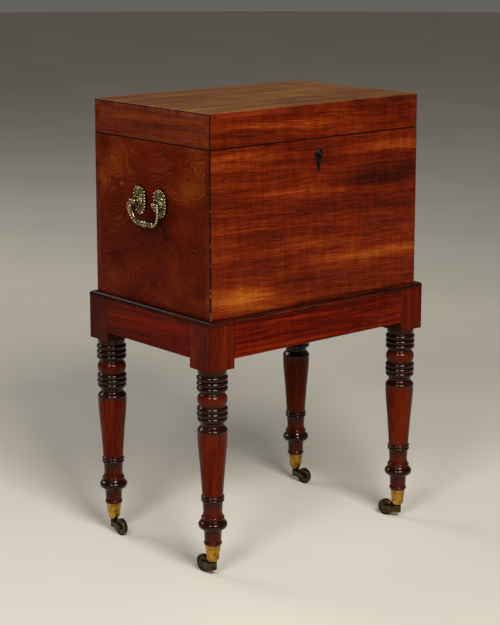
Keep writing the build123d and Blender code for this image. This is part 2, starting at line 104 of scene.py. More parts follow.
class Shader:
    """Writes the node tree of one material."""

    def __init__(self, name):
        self.material = bpy.data.materials.new(name)
        self.material.use_nodes = True
        self.tree = self.material.node_tree
        self.tree.nodes.clear()
        self.out = self.tree.nodes.new("ShaderNodeOutputMaterial")
        self.bsdf = self.tree.nodes.new("ShaderNodeBsdfPrincipled")
        self.tree.links.new(self.bsdf.outputs[0], self.out.inputs[0])
        self._mm = None

    def put(self, socket, value):
        if value is None:
            return
        if isinstance(value, Value):
            self.tree.links.new(value.socket, socket)
        else:
            socket.default_value = value

    def node(self, kind, values=(), **props):
        n = self.tree.nodes.new("ShaderNode" + kind)
        for k, v in props.items():
            setattr(n, k, v)
        items = values.items() if isinstance(values, dict) else enumerate(values)
        for k, v in items:
            self.put(n.inputs[k], v)
        return n

    def wrap(self, socket):
        return Value(self, socket)

    def math(self, kind, *values):
        return self.wrap(self.node("Math", values, operation=kind).outputs[0])

    def mm(self):
        """X, Y and Z of the point in millimetres, fixed to the piece."""
        if self._mm is None:
            at = self.node("TexCoord").outputs["Object"]
            s = self.node("SeparateXYZ", [self.wrap(at)])
            self._mm = [self.wrap(s.outputs[i]) * 1000.0 for i in range(3)]
        return self._mm

    def vec(self, x, y, z):
        return self.wrap(self.node("CombineXYZ", [x, y, z]).outputs[0])

    def noise(self, v, scale=1.0, detail=2.0, rough=0.5, distort=0.0):
        n = self.node(
            "TexNoise",
            {"Vector": v, "Scale": scale, "Detail": detail, "Roughness": rough, "Distortion": distort},
        )
        return self.wrap(n.outputs[0])

    def voronoi(self, v, scale=1.0, randomness=1.0, out="Distance"):
        n = self.node("TexVoronoi", {"Vector": v, "Scale": scale, "Randomness": randomness})
        return self.wrap(n.outputs[out])

    def step(self, v, a, b, lo=0.0, hi=1.0):
        """Smooth rise from lo at a to hi at b."""
        n = self.node("MapRange", interpolation_type="SMOOTHSTEP")
        for k, x in zip(range(5), (v, a, b, lo, hi)):
            self.put(n.inputs[k], x)
        return self.wrap(n.outputs[0])

    def bump_at(self, v, centre, half):
        """A soft bell: 1 at centre, about 0 past twice the half width."""
        d = (v - centre) * (1.0 / half)
        return self.math("EXPONENT", -(d * d))

    def ramp(self, fac, stops):
        n = self.node("ValToRGB", [fac])
        cr = n.color_ramp
        cr.interpolation = "EASE" if len(stops) < 3 else "LINEAR"
        while len(cr.elements) < len(stops):
            cr.elements.new(1.0)
        for e, (p, c) in zip(cr.elements, stops):
            e.position, e.color = p, c
        return self.wrap(n.outputs[0])

    def mix(self, fac, a, b, blend="MIX"):
        n = self.node("Mix", data_type="RGBA", blend_type=blend)
        n.clamp_factor = True
        self.put(n.inputs[0], fac)
        self.put(n.inputs[6], a)
        self.put(n.inputs[7], b)
        return self.wrap(n.outputs[2])

    def ao(self, distance, samples=6, inside=False):
        n = self.node("AmbientOcclusion", {"Distance": distance}, samples=samples, inside=inside)
        return self.wrap(n.outputs["AO"])

    def relief(self, height, distance, strength=1.0):
        n = self.node("Bump", {"Height": height, "Distance": distance, "Strength": strength})
        return self.wrap(n.outputs[0])

    def finish(self, colour, rough, normal=None, coat=None, **fixed):
        self.put(self.bsdf.inputs["Base Color"], colour)
        self.put(self.bsdf.inputs["Roughness"], rough)
        if normal is not None:
            self.put(self.bsdf.inputs["Normal"], normal)
        self.put(self.bsdf.inputs["Coat Weight"], coat)
        for k, v in fixed.items():
            self.bsdf.inputs[k.replace("_", " ")].default_value = v
        return self.material


def grey(s, v):
    n = s.node("CombineColor", [v, v, v])
    return s.wrap(n.outputs[0])


# ---------------------------------------------------------------- woods



def palette(gain, *stops):
    """Stops of (place, r, g, b), each colour times the gain of its channel."""
    out = []
    for p, r, g, b in stops:
        c = srgb(r, g, b)
        out.append((p, (c[0] * gain[0], c[1] * gain[1], c[2] * gain[2], 1.0)))
    return out


# dark vessel colour to golden highlight; each face has its own run
FRONT = palette((0.92, 0.86, 0.5), (0.20, 34, 6, 2), (0.32, 58, 12, 4), (0.38, 79, 17, 4), (0.42, 89, 22, 5), (0.445, 97, 27, 6), (0.47, 103, 31, 7), (0.52, 114, 40, 11), (0.60, 136, 62, 18), (0.78, 172, 96, 38))
SIDE = palette((0.81, 0.56, 0.10), (0.15, 38, 8, 3), (0.27, 72, 17, 6), (0.33, 82, 22, 8), (0.37, 89, 27, 11), (0.41, 95, 32, 14), (0.47, 108, 48, 34), (0.55, 128, 70, 56), (0.72, 164, 112, 96))
LID_SIDE = palette((0.88, 0.80, 0.65), (0.15, 50, 13, 6), (0.26, 76, 26, 13), (0.31, 90, 33, 16), (0.36, 101, 40, 19), (0.41, 110, 46, 22), (0.46, 120, 54, 28), (0.55, 134, 66, 36), (0.75, 150, 84, 46))
RAIL_LONG = palette((0.82, 0.50, 0.1), (0.12, 40, 6, 2), (0.23, 62, 9, 3), (0.27, 74, 14, 3), (0.30, 84, 18, 5), (0.335, 94, 22, 6), (0.38, 108, 31, 8), (0.50, 134, 52, 18))
RAIL_SHORT = palette((0.74, 0.34, 0.05), (0.12, 46, 9, 4), (0.23, 78, 19, 7), (0.275, 90, 24, 8), (0.315, 99, 28, 10), (0.365, 107, 33, 12), (0.42, 118, 41, 18), (0.55, 138, 58, 28))
BLOCK = palette((0.67, 0.40, 0.1), (0.30, 48, 9, 3), (0.45, 68, 14, 4), (0.49, 84, 21, 6), (0.51, 92, 26, 9), (0.54, 99, 31, 12), (0.59, 112, 43, 22), (0.70, 132, 58, 30))
LEG = palette((0.65, 0.48, 0.3), (0.28, 40, 9, 4), (0.40, 70, 18, 7), (0.45, 88, 26, 10), (0.50, 98, 31, 12), (0.55, 106, 37, 15), (0.62, 120, 48, 22), (0.78, 142, 68, 34))
MAHOGANY = palette((0.9, 0.82, 0.6), (0.00, 36, 8, 3), (0.25, 66, 16, 5), (0.45, 98, 28, 8), (0.62, 124, 46, 14), (0.80, 156, 74, 28), (1.00, 184, 106, 50))
# the flat top: faded wood, greyed further by painted sheen
TOP_FADED_AND_SHEEN = palette((1.0, 0.82, 0.46), (0.28, 70, 40, 20), (0.42, 92, 57, 31), (0.47, 104, 68, 39), (0.50, 109, 73, 43), (0.53, 113, 77, 46), (0.57, 120, 86, 54), (0.70, 138, 104, 70))
MOULDING = palette((1.0, 1.0, 1.0), (0.12, 14, 4, 2), (0.26, 26, 7, 4), (0.32, 42, 11, 5), (0.40, 62, 18, 9), (0.52, 92, 34, 18))

POLISH = dict(Specular_IOR_Level=0.13, Specular_Tint=(1.0, 0.42, 0.18, 1.0), Coat_Weight=0.02, Coat_Roughness=0.16)


def grain(s, along, across, deep, tilt=0.0, wave=14.0, band=17.0, run=420.0, seed=0.0):
    """Broad bands, finer streaks and hair-fine lines, each about 0 on average."""
    w1 = s.noise(s.vec(along / 260.0 + seed, deep / 260.0, across / 90.0), detail=2.0) - 0.5
    w2 = s.noise(s.vec(along / 70.0, deep / 60.0, across / 28.0 + seed), detail=1.0) - 0.5
    v = across + along * tilt + w1 * wave + w2 * (wave * 0.28)
    bands = s.noise(s.vec(along / run + seed, deep / 140.0, v / band), detail=4.0, rough=0.6) - 0.5
    mid = s.noise(s.vec(along / 110.0, deep / 30.0 + seed, v / 3.6), detail=4.0, rough=0.68) - 0.5
    fine = s.noise(s.vec(along / 30.0, deep / 5.0, v / 1.3 + seed), detail=3.0, rough=0.7) - 0.5
    return v, bands, mid, fine


def pores(s, along, v, deep, length=7.0, width=0.42, amount=0.66):
    """Short dark vessel lines, 0 to 1."""
    n = s.noise(s.vec(along / length, deep / 1.2, v / width), detail=1.0, rough=0.4)
    return s.step(n, amount, amount + 0.12)


def specks(s, X, Y, Z, size=26.0, big=0.06, seed=0.0):
    """A few small dark dents and stains, 0 to 1."""
    d = s.voronoi(s.vec(X / size + seed, Y / size, Z / size))
    return s.step(d, big, big * 0.45)


def veneer_front():
    s = Shader("mahogany_front")
    X, Y, Z = s.mm()
    v, bands, mid, fine = grain(s, X, Z, Y, tilt=0.042, wave=12.0, band=15.0, seed=3.7)
    mottle = s.noise(s.vec(X / 7.0, Y / 30.0, v / 40.0), detail=2.0) - 0.5
    wide = s.noise(s.vec(X / 150.0, 4.4, v / 34.0), detail=2.0) - 0.5
    t = 0.43 + bands * 0.38 + mid * 0.22 + fine * 0.46 + mottle * 0.14 + wide * 0.26
    for zc, zh, xc, xh, k in (
        (683.0, 8.0, -70.0, 150.0, 0.15),
        (702.0, 5.0, 130.0, 90.0, -0.10),
        (643.0, 8.0, 150.0, 80.0, 0.13),
        (641.0, 8.0, -130.0, 70.0, 0.10),
        (608.0, 6.0, -30.0, 90.0, 0.08),
        (590.0, 13.0, 130.0, 100.0, -0.15),
        (577.0, 7.0, -70.0, 90.0, 0.13),
        (550.0, 10.0, 60.0, 120.0, -0.10),
        (524.0, 2.0, -150.0, 80.0, 0.10),
        (496.0, 6.0, -20.0, 90.0, 0.08),
        (465.0, 7.0, 110.0, 110.0, 0.15),
        (478.0, 9.0, -150.0, 70.0, -0.07),
        (422.0, 17.0, -160.0, 62.0, 0.24),
    ):
        t = t + s.bump_at(v, zc, zh) * s.bump_at(X, xc, xh) * k
    t = t - s.step(Z, 656.0, 658.0) * 0.03
    end = s.step(s.math("ABSOLUTE", X), 214.2, 214.8)
    colour = s.mix(end, s.ramp(t, FRONT), s.mix(s.step(Z, 656.0, 658.0), s.ramp(t - 0.10, SIDE), s.ramp(t - 0.06, LID_SIDE)))
    dark = pores(s, X, v, Y, length=6.0, width=0.5, amount=0.60) * 0.42
    dots = specks(s, X, Y, Z, 24.0, 0.055, 2.0) * 0.8
    # painted shade: the wood is darkened where the ambient occlusion finds other surfaces close by, in corners and
    # along the moulding
    occlusion = s.ao(0.010)
    chew = s.noise(s.vec(X / 5.0, Y / 5.0, Z / 5.0), detail=3.0)
    worn = s.bump_at(X, -205.0, 22.0) * s.step(Z + chew * 5.0, 407.5, 403.5)
    keep = (1.0 - dark) * (1.0 - dots) * (0.30 + occlusion * 0.70) * (1.0 - worn * 0.92)
    colour = s.mix(1.0, colour, grey(s, keep), "MULTIPLY")
    height = fine * 0.5 - dark * 1.6 - dots * 2.0 + mid * 0.3
    rough = 0.34 + fine * 0.16 + dots * 0.2 + bands * 0.1
    return s.finish(colour, rough, s.relief(height, 0.00016, 0.55), **POLISH)


def veneer_side(flip=1.0, seed=0.0):
    s = Shader("mahogany_side_left" if flip > 0 else "mahogany_side_right")
    X, Y, Z = s.mm()
    y = Y * flip
    q = s.noise(s.vec(y / 85.0 + seed, X / 50.0, Z / 60.0), detail=2.0, rough=0.45) - 0.5
    q2 = s.noise(s.vec(y / 16.0, X / 30.0, Z / 11.0 + seed), detail=2.0, rough=0.5) - 0.5
    h = Z * 0.8 + y * 0.2 + q * 60.0 + q2 * 3.4
    for yc, yh, zc, zh, k in (
        (-112.0, 62.0, 462.0, 46.0, 104.0),
        (16.0, 44.0, 494.0, 15.0, 34.0),
        (98.0, 44.0, 630.0, 36.0, -84.0),
        (-90.0, 24.0, 608.0, 17.0, 36.0),
        (70.0, 40.0, 436.0, 22.0, 40.0),
    ):
        h = h + s.bump_at(y, yc, yh) * s.bump_at(Z, zc, zh) * k
    rings = s.noise(s.vec(h / 12.0 + seed, y / 260.0, 0.0), detail=3.0, rough=0.55) - 0.5
    lines = s.noise(s.vec(h / 1.5, y / 60.0 + seed, Z / 60.0), detail=3.0, rough=0.65) - 0.5
    wave = s.math("SINE", h * (6.2832 / 5.5) + q2 * 1.6)
    speck = s.noise(s.vec(y / 2.4, X / 5.0, Z / 2.9 + seed), detail=3.0, rough=0.6) - 0.5
    patchy = s.step(s.noise(s.vec(y / 26.0 + 7.0, X / 50.0, Z / 20.0 + seed), detail=2.0), 0.34, 0.58)
    thin = s.step(wave + speck * 0.5, 0.68, 1.0)
    cloud = s.noise(s.vec(y / 70.0, X / 80.0, Z / 52.0 + 3.0 + seed), detail=3.0) - 0.5
    t = 0.348 + rings * 0.20 + lines * 0.42 + cloud * 0.38 + speck * 0.15 + wave * 0.008 + thin * patchy * 0.096 + s.step(Z, 500.0, 640.0, -0.018, 0.02)
    for yc, yh, zc, zh, k in (
        (-105.0, 45.0, 600.0, 46.0, 0.12),
        (92.0, 38.0, 588.0, 30.0, 0.11),
        (-10.0, 50.0, 545.0, 50.0, -0.05),
        (60.0, 60.0, 500.0, 60.0, -0.03),
    ):
        t = t + s.bump_at(y, yc, yh) * s.bump_at(Z, zc, zh) * k
    # darker in a ring round the backplates
    u = s.math("ABSOLUTE", Y) - 25.0
    ring = u * u * (1.0 / 256.0) + (Z - 563.5) * (Z - 563.5) * (1.0 / 470.0)
    halo = s.step(ring + q2 * 0.5, 1.55, 0.85)
    colour = s.ramp(t, SIDE)
    dark = pores(s, y, h, X, length=5.0, width=0.5, amount=0.62) * 0.36
    dots = specks(s, X, Y, Z, 30.0, 0.05, 5.0 + seed) * 0.6
    # the ao term is painted shade, darker in corners and round the parts that stand close
    keep = (1.0 - dark) * (1.0 - dots) * (0.30 + s.ao(0.010) * 0.70) * (1.0 - halo * 0.78)
    colour = s.mix(1.0, colour, grey(s, keep), "MULTIPLY")
    height = lines * 0.5 - dark * 1.5 - dots * 2.0
    rough = 0.35 + lines * 0.16 + cloud * 0.1
    return s.finish(colour, rough, s.relief(height, 0.00016, 0.5), **dict(POLISH, Specular_IOR_Level=0.05, Coat_Weight=0.01))


def veneer_plain(name, axis, level=0.34, seed=0.0, tilt=0.01, band=15.0, wave=12.0, tones=MAHOGANY, shadow=None, coat=None, shine=0.13):
    """Straight-grained board: axis is the grain's direction, shadow the height of a dark line along its top."""
    s = Shader(name)
    X, Y, Z = s.mm()
    along, across, deep = {"x": (X, Z, Y), "y": (Y, Z, X), "z": (Z, X, Y), "xt": (X, Y, Z)}[axis]
    v, bands, mid, fine = grain(s, along, across, deep, tilt=tilt, wave=wave, band=band, seed=seed)
    mottle = s.noise(s.vec(along / 8.0, deep / 30.0, v / 30.0 + seed), detail=2.0) - 0.5
    t = level + bands * 0.60 + mid * 0.38 + fine * 0.40 + mottle * 0.12
    colour = s.ramp(t, tones)
    dark = pores(s, along, v, deep, length=6.0, width=0.5, amount=0.61) * 0.40
    dots = specks(s, X, Y, Z, 30.0, 0.05, seed) * 0.6
    # the ao term is painted shade, darker in corners and where other parts stand close
    keep = (1.0 - dark) * (1.0 - dots) * (0.28 + s.ao(0.010) * 0.72)
    if shadow is not None:
        keep = keep * s.step(Z, shadow - 0.3, shadow - 1.6, 0.16, 1.0)
    colour = s.mix(1.0, colour, grey(s, keep), "MULTIPLY")
    height = fine * 0.5 - dark * 1.6 - dots * 1.5
    rough = 0.36 + fine * 0.16
    look = dict(POLISH, Specular_IOR_Level=shine)
    if coat is not None:
        look.update(Coat_Weight=coat, Coat_Roughness=0.1)
        rough = 0.28 + fine * 0.12
    return s.finish(colour, rough, s.relief(height, 0.00016, 0.5), **look)


def faded_and_sheen_top():
    s = Shader("mahogany_faded_top")
    X, Y, Z = s.mm()
    v, bands, mid, fine = grain(s, X, Y, Z, tilt=0.01, wave=10.0, band=24.0, seed=9.1)
    blotch = s.noise(s.vec(X / 60.0, Y / 42.0, 2.2), detail=3.0) - 0.5
    t = 0.50 + bands * 0.58 + mid * 0.34 + fine * 0.34 + blotch * 0.28
    t = t - s.bump_at(v, -72.0, 9.0) * (0.05 + s.step(X, -80.0, 60.0) * 0.07)
    red = s.mix(s.step(s.math("ABSOLUTE", X), 214.2, 214.8), s.ramp(t - 0.09, FRONT), s.ramp(t - 0.15, LID_SIDE))
    # the side faces of the board keep the colour of the rails below
    flat = s.step(Z, 709.6, 710.7)
    # the flat top takes colours that are partly a faded top and partly painted sheen
    colour = s.mix(flat, red, s.ramp(t, TOP_FADED_AND_SHEEN))
    dark = pores(s, X, v, Z, length=8.0, width=0.6, amount=0.62) * 0.3
    dots = specks(s, X, Y, Z, 34.0, 0.05, 8.0) * 0.5
    keep = (1.0 - dark) * (1.0 - dots)
    colour = s.mix(1.0, colour, grey(s, keep), "MULTIPLY")
    height = fine * 0.6 - dark * 1.5 - dots * 2.0
    rough = 0.44 + fine * 0.2 + blotch * 0.2
    return s.finish(colour, rough, s.relief(height, 0.00018, 0.5), Specular_IOR_Level=0.12, Specular_Tint=(1.0, 0.82, 0.64, 1.0), Coat_Weight=0.0)


def turned_leg(name, cx, cy, seed):
    s = Shader(name)
    X, Y, Z = s.mm()
    x, y = X - cx, Y - cy
    v, bands, mid, fine = grain(s, Z, x, y, tilt=0.0, wave=8.0, band=11.0, run=260.0, seed=seed)
    # painted shade: the back left leg is made darker, and the two right legs a little darker, than the front left
    t = (0.45 if cx < 0 < cy else 0.49 if cx > 0 else 0.50) + bands * 0.40 + mid * 0.28 + fine * 0.42
    # stain and grime gather on the turnings: rings, collar, knop
    zone = s.node("ValToRGB", [Z / 340.0])
    stops = [
        (0.000, 0.75), (50 / 340, 0.75), (52 / 340, 0.2), (56.5 / 340, 0.5), (70 / 340, 0.45), (73 / 340, 0.15), (86 / 340, 0.04),
        (94 / 340, 0.4), (97 / 340, 0.65), (110 / 340, 0.7), (114 / 340, 0.2), (128 / 340, 0.1), (131 / 340, 1.0), (222 / 340, 1.0),
        (228 / 340, 0.5), (232 / 340, 0.14), (240 / 340, 0.06), (268 / 340, 0.04), (272 / 340, 0.5), (280 / 340, 0.95), (286 / 340, 0.5),
        (291 / 340, 0.06), (320 / 340, 0.06), (324 / 340, 0.5), (328 / 340, 0.8), (1.0, 0.85),
    ]
    cr = zone.color_ramp
    while len(cr.elements) < len(stops):
        cr.elements.new(1.0)
    for e, (p, g) in zip(cr.elements, stops):
        e.position, e.color = p, (g, g, g, 1)
    zone = s.wrap(zone.outputs[0])
    colour = s.ramp(t, LEG)
    stain = s.mix(0.90, s.ramp(t - 0.12, LEG), srgb(6, 2, 2))
    colour = s.mix(zone, stain, colour)
    up = s.step(Z, 325.5, 327.5)
    colour = s.mix(up, colour, s.ramp(0.497 + (t - 0.5) * 0.8, BLOCK))
    # glue lines where the rails meet the block, and the shadow under the moulding
    joint = s.math("MAXIMUM", s.step(x * (-1.0 if cx > 0 else 1.0), 22.9, 23.6), s.step(y * (-1.0 if cy > 0 else 1.0), 22.9, 23.6))
    under = s.step(Z, 395.7, 394.4, 0.16, 1.0)
    dark = pores(s, Z, v, y, length=9.0, width=0.5, amount=0.62) * 0.35
    dots = specks(s, X, Y, Z, 22.0, 0.06, seed) * 0.6
    # the ao term is painted shade, deep in the grooves of the turnings and where the rails meet the block
    keep = (1.0 - dark) * (1.0 - dots) * (0.15 + s.ao(0.005) * 0.85) * (1.0 - joint * up * 0.8) * under
    colour = s.mix(1.0, colour, grey(s, keep), "MULTIPLY")
    height = fine * 0.5 - dark * 1.5 - dots * 1.5
    rough = 0.26 + fine * 0.12 + mid * 0.1
    gloss = 0.02 + (1.0 - zone) * (1.0 - up) * 0.40
    return s.finish(colour, rough, s.relief(height, 0.00014, 0.5), coat=gloss, Specular_IOR_Level=0.08, Specular_Tint=(1.0, 0.45, 0.22, 1.0), Coat_Roughness=0.10)


def stand_wood(name, axis, seed, tones):
    return veneer_plain(name, axis, 0.30, seed, tilt=0.012, band=9.0, wave=8.0, tones=tones, shadow=396.0, shine=0.055)


def ebony():
    s = Shader("ebony")
    X, Y, Z = s.mm()
    n = s.noise(s.vec(X / 40.0, Y / 40.0, Z / 3.0), detail=3.0)
    n2 = s.noise(s.vec(X / 2.0, Y / 2.0, Z / 2.0), detail=2.0)
    colour = s.ramp(n * 0.6 + n2 * 0.4, [(0.0, srgb(4, 2, 2)), (0.6, srgb(10, 5, 4)), (1.0, srgb(28, 15, 10))])
    # the outer arris of the corner strips is painted lighter in broken patches, most of all low down: rubbed and
    # chipped wear, with a painted highlight along the edge
    arris = s.step(s.math("ABSOLUTE", X) + s.math("ABSOLUTE", Y), 355.1, 355.9)
    rub_and_highlight = s.noise(s.vec(X / 30.0, Y / 30.0, Z / 9.0), detail=4.0, rough=0.7)
    low = s.step(Z, 600.0, 430.0, 0.0, 0.11)
    colour = s.mix(arris * s.step(rub_and_highlight + low, 0.62, 0.72) * 0.8, colour, srgb(124, 84, 52))
    return s.finish(colour, 0.34 + n * 0.2, s.relief(n2, 0.0001, 0.4), Specular_IOR_Level=0.06, Specular_Tint=(1.0, 0.7, 0.5, 1.0), Coat_Weight=0.0)


def black_metal():
    s = Shader("escutcheon_black")
    X, Y, Z = s.mm()
    n = s.noise(s.vec(X / 6.0, Y / 6.0, Z / 6.0), detail=4.0, rough=0.6)
    f = s.noise(s.vec(X / 1.2, Y / 1.2, Z / 1.2), detail=3.0, rough=0.6)
    colour = s.ramp(n * 0.6 + f * 0.4, [(0.2, srgb(3, 2, 2)), (0.6, srgb(8, 5, 4)), (0.85, srgb(26, 17, 12))])
    # painted glints: small light spots round the keyhole
    near = s.bump_at(X, 0.0, 5.0) * s.bump_at(Z, 636.0, 7.0)
    painted_glint = s.step(s.noise(s.vec(X / 2.2 + 3.0, Y / 2.2, Z / 2.2), detail=1.0), 0.62, 0.70) * near
    colour = s.mix(painted_glint, colour, srgb(176, 162, 140))
    return s.finish(colour, 0.3 + f * 0.2, s.relief(n * 0.6 + f * 0.4, 0.0003, 0.8), Specular_IOR_Level=0.1, Coat_Weight=0.05, Coat_Roughness=0.1)


# ---------------------------------------------------------------- metals and the rest


def brass(name, clean, dull, grime, rough=0.30, seed=0.0, dirt_size=0.004, occlusion=0.75, ground=None, raised=None):
    s = Shader(name)
    X, Y, Z = s.mm()
    patch = s.noise(s.vec(X / 9.0 + seed, Y / 9.0, Z / 9.0), detail=4.0, rough=0.6)
    fine = s.noise(s.vec(X / 1.3, Y / 1.3, Z / 1.3 + seed), detail=3.0, rough=0.6)
    t = s.step(patch * 0.65 + fine * 0.35, 0.36, 0.66)
    colour = s.mix(t, clean, dull)
    if raised is not None:
        # rubbed bright on the high points only
        high = s.step(s.wrap(s.node("NewGeometry").outputs["Pointiness"]), raised[0], raised[1])
        colour = s.mix(high, s.mix(0.84, colour, grime), colour)
    spots = s.step(s.noise(s.vec(X / 2.6, Y / 2.6 + seed, Z / 2.6), detail=2.0), 0.62, 0.74)
    colour = s.mix(spots * 0.55, colour, grime)
    cover = s.step(s.ao(dirt_size), 0.93, 0.38) * occlusion
    if ground is not None:
        # the sunk ground of the relief, close to the face it is fixed to, is black with old polish
        cover = s.math("MAXIMUM", cover, s.step(s.math("ABSOLUTE", X) + fine * 0.8 - 0.4, ground + 2.9, ground + 1.5) * 0.97)
    colour = s.mix(cover, colour, grime)
    rough_v = rough + t * 0.14 + spots * 0.2 + cover * 0.3
    return s.finish(colour, rough_v, s.relief(fine * 0.5 - spots * 0.5, 0.00012, 0.6), Metallic=1.0)


def iron():
    s = Shader("iron")
    X, Y, Z = s.mm()
    n = s.noise(s.vec(X / 1.5, Y / 1.5, Z / 1.5), detail=4.0, rough=0.6)
    rust = s.step(n, 0.5, 0.7)
    colour = s.mix(rust, srgb(78, 72, 66), srgb(74, 42, 26))
    return s.finish(colour, 0.42 + rust * 0.3, s.relief(n, 0.0001, 0.6), Metallic=1.0)


def lead():
    s = Shader("lead")
    X, Y, Z = s.mm()
    n = s.noise(s.vec(X / 45.0, Y / 45.0, Z / 45.0), detail=5.0, rough=0.6)
    f = s.noise(s.vec(X / 3.0, Y / 3.0, Z / 3.0), detail=4.0, rough=0.65)
    drip = s.noise(s.vec(X / 6.0, Y / 6.0, Z / 90.0), detail=3.0)
    t = n * 0.5 + f * 0.3 + drip * 0.3
    colour = s.ramp(t, [(0.25, srgb(70, 70, 70)), (0.5, srgb(112, 112, 110)), (0.75, srgb(150, 148, 142)), (1.0, srgb(176, 172, 162))])
    # painted shade: darker where the ambient occlusion finds walls close by, into the corners of the liner
    keep = 0.5 + s.ao(0.03) * 0.5
    colour = s.mix(1.0, colour, grey(s, keep), "MULTIPLY")
    return s.finish(colour, 0.55 + f * 0.2, s.relief(n * 0.6 + f * 0.2, 0.0009, 0.5), Metallic=0.55)


def inner_wood(name, axis, seed):
    s = Shader(name)
    X, Y, Z = s.mm()
    along, across, deep = {"x": (X, Z, Y), "y": (Y, Z, X)}[axis]
    v, bands, mid, fine = grain(s, along, across, deep, tilt=0.01, wave=9.0, band=13.0, seed=seed)
    t = 0.46 + bands * 0.6 + mid * 0.3 + fine * 0.25
    colour = s.ramp(t, [(0.0, srgb(56, 24, 12)), (0.4, srgb(104, 52, 26)), (0.7, srgb(140, 78, 42)), (1.0, srgb(172, 108, 64))])
    dark = pores(s, along, v, deep, 6.0, 0.5, 0.6) * 0.35
    # the ao term is painted shade, darker in the corners between the boards
    keep = (1.0 - dark) * (0.55 + s.ao(0.02) * 0.45)
    colour = s.mix(1.0, colour, grey(s, keep), "MULTIPLY")
    return s.finish(colour, 0.5 + fine * 0.2, s.relief(fine * 0.5 - dark, 0.00016, 0.5), Specular_IOR_Level=0.35)


def wear(node, material):
    o = nodes[node]
    if not o.material_slots:
        o.data.materials.append(material)
    for m in o.material_slots:
        m.material = material


front = veneer_front()
left = veneer_side(1.0)
right = veneer_side(-1.0, 4.4)
for n in ("box_front", "lid_front_rail"):
    wear(n, front)
wear("box_left_side", left)
wear("box_right_side", right)
wear("lid_left_rail", veneer_plain("mahogany_lid_left", "y", 0.352, 2.2, tones=LID_SIDE, shine=0.08))
wear("lid_right_rail", veneer_plain("mahogany_lid_right", "y", 0.352, 7.9, tones=LID_SIDE, shine=0.08))
back = veneer_plain("mahogany_back", "x", 0.36, 6.3)
wear("box_back", back)
wear("lid_back_rail", back)
wear("box_bottom", veneer_plain("mahogany_bottom", "xt", 0.3, 5.1))
wear("lid_top_board", faded_and_sheen_top())
rails_x = stand_wood("stand_wood_long", "x", 1.9, RAIL_LONG)
rails_y = stand_wood("stand_wood_short", "y", 8.2, RAIL_SHORT)
for n in ("stand_front_rail", "stand_back_rail"):
    wear(n, rails_x)
for n in ("stand_left_rail", "stand_right_rail"):
    wear(n, rails_y)
edge_x = veneer_plain("moulding_wood_long", "x", 0.32, 4.1, band=5.0, wave=4.0, tones=MOULDING, coat=0.05, shine=0.06)
edge_y = veneer_plain("moulding_wood_short", "y", 0.32, 6.7, band=5.0, wave=4.0, tones=MOULDING, coat=0.025, shine=0.05)
for n in ("stand_front_moulding", "stand_back_moulding"):
    wear(n, edge_x)
for n in ("stand_left_moulding", "stand_right_moulding"):
    wear(n, edge_y)
for i, (n, cx, cy) in enumerate(
    (("leg_front_left", -200, -127), ("leg_front_right", 200, -127), ("leg_back_left", -200, 127), ("leg_back_right", 200, 127))
):
    wear(n, turned_leg("mahogany_" + n, cx, cy, 1.7 + 3.1 * i))
black = ebony()
for n in ("box_stringing", "lid_stringing"):
    wear(n, black)
wear("escutcheon", black_metal())
wear("divider_long_board", inner_wood("inner_wood_long", "x", 1.1))
wear("divider_cross_boards", inner_wood("inner_wood_cross", "y", 6.6))
wear("box_liner", lead())
cast = brass("brass_cast", srgb(255, 240, 188), srgb(226, 196, 124), srgb(7, 5, 3), 0.15, 1.0, 0.0045, 0.98, ground=215.0, raised=(0.503, 0.553))
plain = brass("brass_plain", srgb(204, 156, 60), srgb(122, 86, 26), srgb(18, 10, 4), 0.14, 3.0, 0.006, 0.92)
dark_brass = brass("brass_dark", srgb(96, 78, 48), srgb(50, 38, 26), srgb(12, 9, 7), 0.30, 5.0, 0.006, 0.9)
rusty = iron()
for n in nodes:
    if "handle" in n and "nuts" not in n:
        wear(n, cast)
    elif n.startswith("hinge") and "leaves" in n or n in ("lock_case", "lock_link_plate", "caster_cups"):
        wear(n, plain)
    elif n.endswith("_horn") or n.endswith("_wheel"):
        wear(n, dark_brass)
    elif "screws" in n or "pins" in n or "axle" in n or n in ("handle_nuts", "lock_bolt"):
        wear(n, rusty)

# ---------------------------------------------------------------- cast handles


def smooth_path(points, per=8):
    """Catmull-Rom through the points; each point is (x, y, z, r)."""
    pts = [points[0]] + list(points) + [points[-1]]
    out = []
    for i in range(1, len(pts) - 2):
        p0, p1, p2, p3 = (Vector(p) for p in pts[i - 1 : i + 3])
        for k in range(per):
            t = k / per
            out.append(
                0.5 * ((2 * p1) + (p2 - p0) * t + (2 * p0 - 5 * p1 + 4 * p2 - p3) * t * t + (3 * p1 - p0 - 3 * p2 + p3) * t * t * t)
            )
    out.append(Vector(pts[-2]))
    return out


